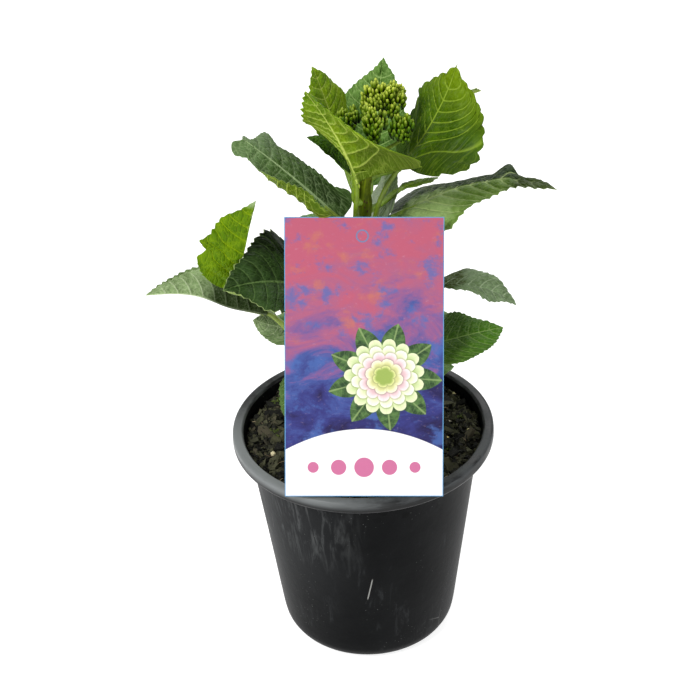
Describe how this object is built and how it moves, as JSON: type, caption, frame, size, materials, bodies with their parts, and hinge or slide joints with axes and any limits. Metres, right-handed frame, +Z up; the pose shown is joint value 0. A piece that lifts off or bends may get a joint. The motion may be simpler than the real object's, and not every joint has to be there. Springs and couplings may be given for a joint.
{
  "type": "hydrangea shrub",
  "caption": "Young bushy hydrangea with broad toothed leaves and tight green flower buds, growing in a round plastic nursery pot with a plant label leaning on the rim.",
  "frame": {"origin": "centre of the pot's flat underside, on the surface it stands on", "axes": "+Z up along the pot's axis; the label and the flower head's front face -Y; +X to the right as seen from the label's side"},
  "size_m": [0.268, 0.2208, 0.4276],
  "materials": {
    "pot_plastic": "satin",
    "potting_mix": "matte",
    "stem": "satin",
    "bud_stalk": "satin",
    "leaf": "satin",
    "flower_buds": "matte",
    "label_card": "gloss"
  },
  "bodies": {
    "root": {"nursery_pot": "pot_plastic", "potting_mix": "potting_mix", "stem_main": "stem", "shoot_left": "stem", "shoot_right": "stem", "shoot_back": "stem", "bud_stalk_top": "bud_stalk", "bud_stalk_front": "bud_stalk", "bud_stalk_left": "bud_stalk", "bud_stalk_right": "bud_stalk", "leaf_top_front_left": "leaf", "leaf_top_back_left": "leaf", "leaf_top_back": "leaf", "leaf_top_back_right": "leaf", "leaf_top_right": "leaf", "leaf_small_left": "leaf", "leaf_mid_left": "leaf", "leaf_mid_right": "leaf", "leaf_small_right": "leaf", "leaf_mid_back": "leaf", "leaf_low_left_upright": "leaf", "leaf_low_left_long": "leaf", "leaf_low_left_front": "leaf", "leaf_low_left_small": "leaf", "leaf_low_right_upper": "leaf", "leaf_low_right_front": "leaf", "leaf_low_front": "leaf", "leaf_back_left": "leaf", "leaf_back_right": "leaf", "leaf_low_back": "leaf", "leaf_low_back_left": "leaf", "leaf_low_back_right": "leaf", "leaf_low_right_small": "leaf", "bud_cluster_top": "flower_buds", "bud_cluster_front": "flower_buds", "bud_cluster_left": "flower_buds", "bud_cluster_right": "flower_buds", "plant_label": "label_card"}
  },
  "joints": []
}
